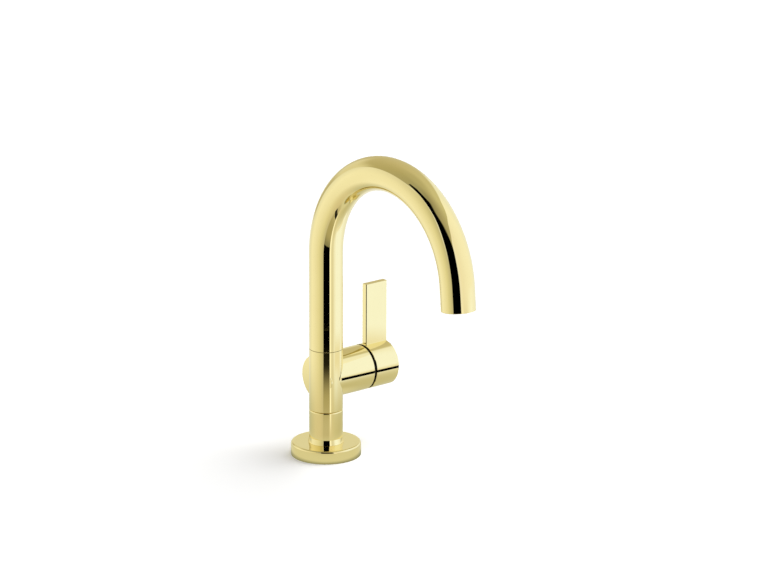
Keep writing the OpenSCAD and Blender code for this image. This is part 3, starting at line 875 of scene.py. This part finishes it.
def honeycomb_tree():
    """Node tree that sets a hexagon prism at each point of a honeycomb, inside a circle."""
    graph, (_, pitch, rows, circle, hole, depth, finish) = geometry_tree(
        "honeycomb_punches", ("Pitch", "Float"), ("Rows", "Int"), ("Circle", "Float"),
        ("Hole Radius", "Float"), ("Depth", "Float"),
    )
    across = rows * 2
    count = across + 1
    grid = graph.add("GeometryNodeMeshGrid", {}, {
        "Size X": across, "Size Y": across, "Vertices X": count, "Vertices Y": count,
    })
    i, j, level = graph.split(graph.add("GeometryNodeInputPosition"))
    place = graph.add("ShaderNodeCombineXYZ", {}, {
        0: pitch * (i + j / 2), 1: pitch * j * math.sin(math.pi / 3), 2: level,
    })
    laid = graph.add("GeometryNodeSetPosition", {}, {"Geometry": grid, "Position": place})
    spot = graph.add("GeometryNodeInputPosition")
    off_middle = graph.add("ShaderNodeVectorMath", {"operation": "LENGTH"}, {0: spot}, out="Value")
    prism = graph.add("GeometryNodeMeshCylinder", {}, {"Vertices": 6, "Radius": hole, "Depth": depth})
    punches = graph.add("GeometryNodeInstanceOnPoints", {}, {
        "Points": laid, "Selection": (circle - off_middle).math("GREATER_THAN", 0),
        "Instance": prism,
    })
    return end_tree(graph, punches, finish)


def aerator_screen():
    """Honeycomb plate that the water leaves through."""
    shelf = AERATOR_RECESS + AERATOR_LIP
    radius = AERATOR_BORE_R - FIT
    circle = radius - 2 * SCREEN_HOLE_R
    plate = bar("honeycomb", radius, shelf, shelf + SCREEN_THICK, edge=0.1 * MM,
                segments=PLATE_ROUND, matrix=AT_OUTLET)
    punches = to_object(bmesh.new(), "punches")
    run_tree(punches, honeycomb_tree(), **{
        "Pitch": SCREEN_PITCH, "Rows": int(circle / SCREEN_PITCH) + 1, "Circle": circle,
        "Hole Radius": SCREEN_HOLE_R, "Depth": 3 * SCREEN_THICK,
        "Finish": FINISHES["white_acetal"],
    })
    punches.data.transform(AT_OUTLET @ Matrix.Translation((0, 0, shelf)))
    combine(plate, "DIFFERENCE", punches)
    return finish_piece(plate, "white_acetal", "spout", "aerator_screen")


# -------- camera

# Turn round the column, distance from it, height and tilt, fitted to the photo's outlines
CAMERA_TURN = math.radians(-39.1811)
CAMERA_DISTANCE = 3.084588
CAMERA_HEIGHT = 1.062948
CAMERA_TILT = math.radians(16.5529)
SENSOR_WIDTH = 36
LENS_LENGTH = 180.07
# Width of the picture, and how far the part stands off its middle, in pixels
PICTURE_WIDTH = 768
OFF_MIDDLE = 58


def make_camera():
    """Long lens, from the front left and a little above, with the part off the middle."""
    data = bpy.data.cameras.new("camera")
    data.sensor_width = SENSOR_WIDTH
    data.lens = LENS_LENGTH
    data.shift_x = OFF_MIDDLE / PICTURE_WIDTH
    data.clip_start, data.clip_end = 0.1, 50
    camera = bpy.data.objects.new("camera", data)
    camera.location = (
        math.sin(CAMERA_TURN) * CAMERA_DISTANCE,
        -math.cos(CAMERA_TURN) * CAMERA_DISTANCE,
        CAMERA_HEIGHT,
    )
    camera.rotation_euler = (math.pi / 2 - CAMERA_TILT, 0, CAMERA_TURN)
    bpy.context.scene.collection.objects.link(camera)
    bpy.context.scene.camera = camera


# -------- studio

TENT_R = 510 * MM
TENT_H = 1000 * MM
FLOOR_R = 6
# The card beside the valve. Turns are angles round the column from the camera's side, in degrees
CARD_R = 150 * MM
CARD_LOW, CARD_HIGH = 20 * MM, 205 * MM
CARD_TURN = (52, 124)
# The line flag: how far it stands off the barrel, and its two ends, each with its place along
# the barrel and its lower and upper edge
LINE_FLAG_OFF = 2.2 * MM
LINE_FLAG = ((7.5 * MM, 65.7 * MM, 68.5 * MM), (74 * MM, 64.2 * MM, 67.0 * MM))
COLUMN_FLAG_R = 80 * MM
COLUMN_FLAG_LOW, COLUMN_FLAG_HIGH = 30 * MM, 92.5 * MM
COLUMN_FLAG_TURN = (-15.9, 22.4)
# The lamp: width, strength, turn from the camera's side and rise for each unit away
LAMP_WIDTH = math.radians(50)
LAMP_STRENGTH = 2.5
LAMP_TURN = math.radians(115)
LAMP_RISE = 1.5
# Light of the world on the object, and light of the deck that only the camera sees
WORLD_LIGHT = 0.25
DECK_LIFT = 0.28

BLACK = (0, 0, 0)
WHITE = (1, 1, 1)
PAPER = (0.93, 0.93, 0.93)
WALL_FOOT = (0.92, 0.93, 0.90)
WALL_GLOW = (0.80, 0.77, 0.58)
WALL_BACK = (0.80, 0.78, 0.60)
CEILING_MIDDLE = (0.52, 0.49, 0.31)
# Where the deck and the wall's foot turn dark in front of the camera, in degrees
GAP_START, GAP_END = (-18, -17), (24, 25)

# Light of the tent's cloth by angle round the column from the camera's side, in degrees
CLOTH = [
    (-180, (0.62, 0.57, 0.38)), (-105, (0.51, 0.47, 0.28)), (-45, (0.39, 0.38, 0.25)),
    (-15, (0.33, 0.32, 0.20)), (15, (0.43, 0.40, 0.26)), (75, (0.67, 0.65, 0.44)),
    (120, (0.66, 0.63, 0.43)), (180, (0.62, 0.57, 0.38)),
]

# Light of the two softboxes by angle round the column from the camera's side, in degrees
LEFT_BOX = [
    (-135, (0.88, 0.89, 0.79)), (-105, (1.03, 1.03, 0.92)), (-80, (0.97, 0.96, 0.83)),
    (-52, (0.88, 0.86, 0.66)), (-37, (0.77, 0.75, 0.54)), (-17, (0.59, 0.57, 0.45)),
]
RIGHT_BOX = [
    (18, (0.92, 0.93, 0.96)), (25, (0.98, 0.98, 0.99)), (34, (0.97, 0.95, 0.89)),
    (60, (1.03, 1.04, 1.00)), (90, (1.06, 1.08, 1.06)), (120, (0.98, 1.02, 1.03)),
    (150, (0.96, 0.99, 0.99)), (165, (0.88, 0.90, 0.84)),
]
# The right softbox's foot is brighter at its frame
RIGHT_FOOT = [
    (20, (1.20, 1.20, 1.14)), (32.5, (1.18, 1.18, 1.10)), (35.5, (0.84, 0.83, 0.74)),
    (46, (0.82, 0.81, 0.71)), (53, (0.93, 0.94, 0.90)), (60, (1.07, 1.15, 1.26)),
    (74, (1.09, 1.19, 1.38)), (95, (1.04, 1.08, 1.12)),
    (120, (0.98, 1.02, 1.03)), (165, (0.88, 0.90, 0.84)),
]
LEFT_FRAME = (0.90, 0.93, 0.95)

# Light of the deck round the flange, by the same angle
NEAR_DECK = [
    (-180, (0.62, 0.62, 0.48)), (-127, (0.59, 0.61, 0.48)), (-70, (0.76, 0.71, 0.53)),
    (-37, (0.75, 0.69, 0.51)), (-20, (0.68, 0.63, 0.46)), (-16, (0.60, 0.56, 0.39)),
    (18, (0.60, 0.56, 0.39)), (24, (0.78, 0.73, 0.55)), (34, (0.76, 0.71, 0.53)),
    (60, (0.68, 0.66, 0.47)), (92, (0.63, 0.61, 0.43)), (180, (0.62, 0.62, 0.48)),
]

# Edges of the softboxes and of the camera's black flag: height in mm, angle in degrees. Low
# down, the flag shares its edges with the softboxes
LEFT_EDGE = [(0, -17.5), (40, -17), (90, -14.8), (300, -15.2)]
RIGHT_EDGE = [(0, 24.6), (130, 24), (190, 22.5)]
LEFT_BOX_START = [
    (0, -140), (220, -134), (400, -122), (500, -106), (560, -90), (610, -76), (650, -67),
    (700, -60), (735, -50), (745, -40),
]
LEFT_BOX_END = [
    *LEFT_EDGE, (420, -17.5), (500, -19.5), (560, -22.5), (620, -28), (680, -35), (735, -46),
    (745, -60),
]
RIGHT_BOX_START = [
    *RIGHT_EDGE, (300, 21), (420, 22), (460, 24), (500, 28), (560, 33), (620, 37.5), (680, 43),
    (720, 49), (760, 62), (800, 74), (850, 87), (880, 100),
]
RIGHT_BOX_END = [
    (0, 160), (300, 157), (450, 149), (550, 141), (650, 130), (750, 118), (820, 107), (880, 94),
]
FLAG_START = [
    *LEFT_EDGE, (500, -19.5), (620, -28), (720, -42), (748, -66), (880, -65), (940, -58),
    (1000, -53),
]
FLAG_END = [
    *RIGHT_EDGE, (300, 22), (420, 21), (480, 17.5), (540, 13.5), (600, 9), (660, 3), (700, -3),
    (760, -9), (850, -12), (1000, -16),
]


def by_angle(graph, angle, stops):
    """Colour ramp over the angle round the column."""
    spread = [((degrees + 180) / 360, colour) for degrees, colour in stops]
    return graph.add("ShaderNodeValToRGB", {"stops": spread}, {"Fac": (angle + 180) / 360})


def studio_place(graph):
    """Angle from the camera's side in degrees, distance from the column and height, of a point."""
    x, y, z = graph.split(graph.add("ShaderNodeTexCoord", out="Object"))
    forward = x * math.sin(CAMERA_TURN) - y * math.cos(CAMERA_TURN)
    rightward = x * math.cos(CAMERA_TURN) + y * math.sin(CAMERA_TURN)
    angle = rightward.math("ARCTAN2", forward) * math.degrees(1)
    radius = (x * x + y * y).math("SQRT")
    return angle, radius, z


def edge_at(graph, height, stops):
    """Angle in degrees, read at that height off a bent line through the stops."""
    spread = [(at * MM / TENT_H, ((degrees + 180) / 360,) * 3) for at, degrees in stops]
    return graph.add("ShaderNodeValToRGB", {"stops": spread}, {"Fac": height / TENT_H}) * 360 - 180


def foot_light(graph, angle):
    """Light of the wall's foot, where it meets the deck, by angle."""
    left = angle.smooth(-140, -128) * (1 - angle.smooth(*GAP_START))
    right = angle.smooth(*GAP_END) * (1 - angle.smooth(150, 168))
    light = graph.mix(WALL_FOOT, by_angle(graph, angle, LEFT_BOX), left)
    return graph.mix(light, by_angle(graph, angle, RIGHT_FOOT), right)


def cloth_light(graph, angle, z, low):
    """Light of the cloth: pale at its foot, with a glow at the back left and a band behind."""
    light = graph.mix(by_angle(graph, angle, CLOTH), WALL_FOOT, low)
    glow = z.smooth(230 * MM, 330 * MM) * (1 - z.smooth(430 * MM, 620 * MM))
    glow = glow * angle.smooth(-172, -155) * (1 - angle.smooth(-120, -105))
    light = graph.mix(light, WALL_GLOW, glow)
    back = angle.math("ABSOLUTE").smooth(150, 166) * z.smooth(90 * MM, 130 * MM)
    return graph.mix(light, WALL_BACK, back * (1 - z.smooth(200 * MM, 260 * MM)))


def camera_flag(graph, angle, z):
    """How far the black flag round the camera covers the wall. Its right edge softens higher up."""
    softness = z.smooth(430 * MM, 560 * MM) * 10 + 1
    past = (angle - edge_at(graph, z, FLAG_END)) / softness
    return (angle - edge_at(graph, z, FLAG_START)).smooth(-1, 0) * (1 - past.smooth(-0.5, 0.5))


def left_box(graph, angle, z):
    """Light of the left softbox, paler along its frame, and how far it covers the wall."""
    into = angle - edge_at(graph, z, LEFT_BOX_START)
    to_end = edge_at(graph, z, LEFT_BOX_END) - angle
    strength = 1 - z.smooth(200 * MM, 620 * MM) * 0.14
    light = graph.mix(BLACK, by_angle(graph, angle, LEFT_BOX), strength)
    frame = (1 - to_end.smooth(3, 6)) * z.smooth(180 * MM, 420 * MM)
    top_frame = (1 - into.smooth(4, 9)) * z.smooth(590 * MM, 640 * MM)
    light = graph.mix(light, LEFT_FRAME, frame.math("MAXIMUM", top_frame))
    return light, into.smooth(-5, 4) * to_end.smooth(-0.5, 0.5)


def right_box(graph, angle, z, low):
    """Light of the right softbox, with its own foot, and how far it covers the wall."""
    into = angle - edge_at(graph, z, RIGHT_BOX_START)
    to_end = edge_at(graph, z, RIGHT_BOX_END) - angle
    light = graph.mix(by_angle(graph, angle, RIGHT_BOX), by_angle(graph, angle, RIGHT_FOOT), low)
    return light, into.smooth(-0.8, 0.8) * to_end.smooth(-7, 7)


def tent_wall(graph):
    """The wall: warm cloth, the black flag round the camera, and a softbox on each side of it."""
    angle, _, z = studio_place(graph)
    low = 1 - z.smooth(90 * MM, 150 * MM)
    light = cloth_light(graph, angle, z, low)
    light = graph.mix(light, BLACK, camera_flag(graph, angle, z))
    light = graph.mix(light, *left_box(graph, angle, z))
    return graph.mix(light, *right_box(graph, angle, z, low))


def tent_ceiling(graph):
    """The ceiling: the wall's cloth goes on, and evens out over the column."""
    angle, radius, _ = studio_place(graph)
    rim = radius.smooth(40 * MM, 420 * MM)
    return graph.mix(CEILING_MIDDLE, by_angle(graph, angle, CLOTH), rim)


def deck_light(graph):
    """The deck as the brass sees it: dim under the flange's rim, warm close by, as bright as the
    wall's foot further out, and dark towards the camera."""
    angle, radius, _ = studio_place(graph)
    contact = graph.mix((0.34, 0.35, 0.27), (0.76, 0.75, 0.58), radius.smooth(30 * MM, 39 * MM))
    near = graph.mix(contact, by_angle(graph, angle, NEAR_DECK), radius.smooth(45 * MM, 80 * MM))
    frame = angle.smooth(24, 26) * (1 - angle.smooth(32, 36))
    by_frame = frame * radius.smooth(60 * MM, 150 * MM)
    spread = radius.smooth(80 * MM, 300 * MM).math("MAXIMUM", by_frame)
    light = graph.mix(near, foot_light(graph, angle), spread)
    gap = angle.smooth(*GAP_START) * (1 - angle.smooth(*GAP_END))
    dusk = graph.mix(near, (0.47, 0.43, 0.25), radius.smooth(90 * MM, 180 * MM))
    dusk = graph.mix(dusk, (0.27, 0.26, 0.16), radius.smooth(230 * MM, 360 * MM))
    dusk = graph.mix(dusk, BLACK, radius.smooth(364 * MM, 380 * MM))
    return graph.mix(light, dusk, gap)


def light_only_gloss(piece):
    """Hides a studio piece from everything but reflections."""
    for ray in ("camera", "diffuse", "shadow", "transmission", "volume_scatter"):
        setattr(piece, "visible_" + ray, False)


def studio_piece(mesh, name, paint, cover=None):
    """Part of the light tent, glowing as paint(graph) says and as solid as cover(graph) says."""
    material, graph = new_material(name)
    surface = graph.add("ShaderNodeEmission", {}, {"Color": paint(graph)})
    if cover:
        clear = graph.add("ShaderNodeBsdfTransparent")
        surface = graph.add("ShaderNodeMixShader", {}, {0: cover(graph), 1: clear, 2: surface})
    graph.add("ShaderNodeOutputMaterial", {}, {"Surface": surface})
    piece = to_object(mesh, name)
    piece.data.materials.append(material)
    light_only_gloss(piece)
    return piece


def ring_wall(radius, low, high, turn=(-180, 180), segments=180):
    """Upright wall on a circle round the column, between two angles from the camera's side."""
    mesh = bmesh.new()
    pairs = []
    for k in range(segments + 1):
        angle = CAMERA_TURN + math.radians(turn[0] + (turn[1] - turn[0]) * k / segments)
        across = (radius * math.sin(angle), -radius * math.cos(angle))
        pairs.append([mesh.verts.new((*across, z)) for z in (low, high)])
    for (a, b), (c, d) in zip(pairs, pairs[1:]):
        mesh.faces.new([a, c, d, b])
    return mesh


def strip():
    """Narrow upright strip along the barrel, just in front of it."""
    mesh = bmesh.new()
    (x0, low0, high0), (x1, low1, high1) = LINE_FLAG
    y = BARREL_Y - BARREL_R - LINE_FLAG_OFF
    corners = ((x0, y, low0), (x1, y, low1), (x1, y, high1), (x0, y, high0))
    mesh.faces.new([mesh.verts.new(corner) for corner in corners])
    return mesh


def disc(radius, z, segments=ROUND):
    """Flat disc."""
    mesh = bmesh.new()
    bmesh.ops.create_circle(mesh, cap_ends=True, segments=segments, radius=radius)
    bmesh.ops.translate(mesh, vec=(0, 0, z), verts=mesh.verts)
    return mesh


def side_card(graph):
    """The card beside the valve: cool white, and warmer towards the deck and its left edge."""
    angle, _, z = studio_place(graph)
    white = graph.mix((1.06, 1.15, 1.32), (1.00, 1.04, 1.06), angle.smooth(100, 126))
    high = z.smooth(46 * MM, 72 * MM).math("MAXIMUM", angle.smooth(98, 112))
    return graph.mix((0.94, 0.92, 0.80), white, high * angle.smooth(50, 70))


def side_card_cover(graph):
    """The card fades out towards its left and lower edges."""
    angle, _, z = studio_place(graph)
    return angle.smooth(52, 64) * z.smooth(20 * MM, 42 * MM)


def black_flag(graph):
    """Black of the flags close to the brass."""
    return BLACK


def column_flag_cover(graph):
    """The column's flag fades out towards the deck."""
    _, _, z = studio_place(graph)
    return z.smooth(28 * MM, 64 * MM) * 0.96 + z.smooth(64 * MM, 84 * MM) * 0.04


def make_floor():
    """White deck that takes the shadow. Reflections see the tent's floor in its place, and from
    below it is clear."""
    material, graph = new_material("white_deck")
    camera_ray = graph.add("ShaderNodeLightPath", out="Is Camera Ray")
    glossy_ray = graph.add("ShaderNodeLightPath", out="Is Glossy Ray")
    paper = graph.add("ShaderNodeBsdfDiffuse", {}, {"Color": PAPER})
    lift = graph.add("ShaderNodeEmission", {}, {"Color": WHITE, "Strength": camera_ray * DECK_LIFT})
    seen = graph.add("ShaderNodeAddShader", {}, {0: paper, 1: lift})
    tent = graph.add("ShaderNodeEmission", {}, {"Color": deck_light(graph)})
    surface = graph.add("ShaderNodeMixShader", {}, {0: glossy_ray, 1: seen, 2: tent})
    behind = graph.add("ShaderNodeNewGeometry", out="Backfacing")
    clear = graph.add("ShaderNodeBsdfTransparent")
    shown = graph.add("ShaderNodeMixShader", {}, {0: behind, 1: surface, 2: clear})
    graph.add("ShaderNodeOutputMaterial", {}, {"Surface": shown})
    floor = to_object(disc(FLOOR_R, 0), "deck_plane")
    floor.data.materials.append(material)


def make_world():
    """White for the camera and for reflections, and an even, plain light for everything else."""
    world = bpy.data.worlds.new("studio")
    bpy.context.scene.world = world
    world.use_nodes = True
    world.node_tree.nodes.clear()
    graph = Graph(world.node_tree)
    seen = graph.add("ShaderNodeLightPath", out="Is Camera Ray")
    for ray in ("Is Glossy Ray", "Is Transmission Ray"):
        seen = seen.math("MAXIMUM", graph.add("ShaderNodeLightPath", out=ray))
    strength = WORLD_LIGHT + seen * (1 - WORLD_LIGHT)
    background = graph.add("ShaderNodeBackground", {}, {"Color": WHITE, "Strength": strength})
    graph.add("ShaderNodeOutputWorld", {}, {"Surface": background})


def make_lamp():
    """One wide soft light from the right, which leaves the shadow at the left of the flange."""
    data = bpy.data.lights.new("key", "SUN")
    data.angle = LAMP_WIDTH
    data.energy = LAMP_STRENGTH
    lamp = bpy.data.objects.new("key", data)
    turn = CAMERA_TURN + LAMP_TURN
    away = Vector((math.sin(turn), -math.cos(turn), LAMP_RISE)).normalized()
    lamp.rotation_euler = away.to_track_quat("Z", "Y").to_euler()
    lamp.visible_glossy = False
    bpy.context.scene.collection.objects.link(lamp)


def make_studio():
    """Camera, tent, floor, world and lamp."""
    make_camera()
    studio_piece(ring_wall(TENT_R, 0, TENT_H), "tent_wall", tent_wall)
    studio_piece(disc(TENT_R, TENT_H), "tent_ceiling", tent_ceiling)
    card = ring_wall(CARD_R, CARD_LOW, CARD_HIGH, CARD_TURN)
    studio_piece(card, "side_card", side_card, side_card_cover)
    studio_piece(strip(), "line_flag", black_flag)
    flag = ring_wall(COLUMN_FLAG_R, COLUMN_FLAG_LOW, COLUMN_FLAG_HIGH, COLUMN_FLAG_TURN, segments=24)
    studio_piece(flag, "column_flag", black_flag, column_flag_cover)
    make_floor()
    make_world()
    make_lamp()


# -------- assembly

def dress_nodes():
    """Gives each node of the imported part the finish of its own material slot."""
    for node in frame["nodes"].values():
        for place in node.material_slots:
            finish = place.material.name.split(".")[0] if place.material else ""
            if finish in FINISHES:
                place.material = FINISHES[finish]


make_studio()
dress_nodes()
base_flange()
pedestal()
valve_body()
spout_tube()
lever_handle()
mounting_shank()
mounting_nut()
screws()
screw_plug()
aerator_housing()
aerator_screen()

bpy.context.scene.view_settings.view_transform = "Standard"
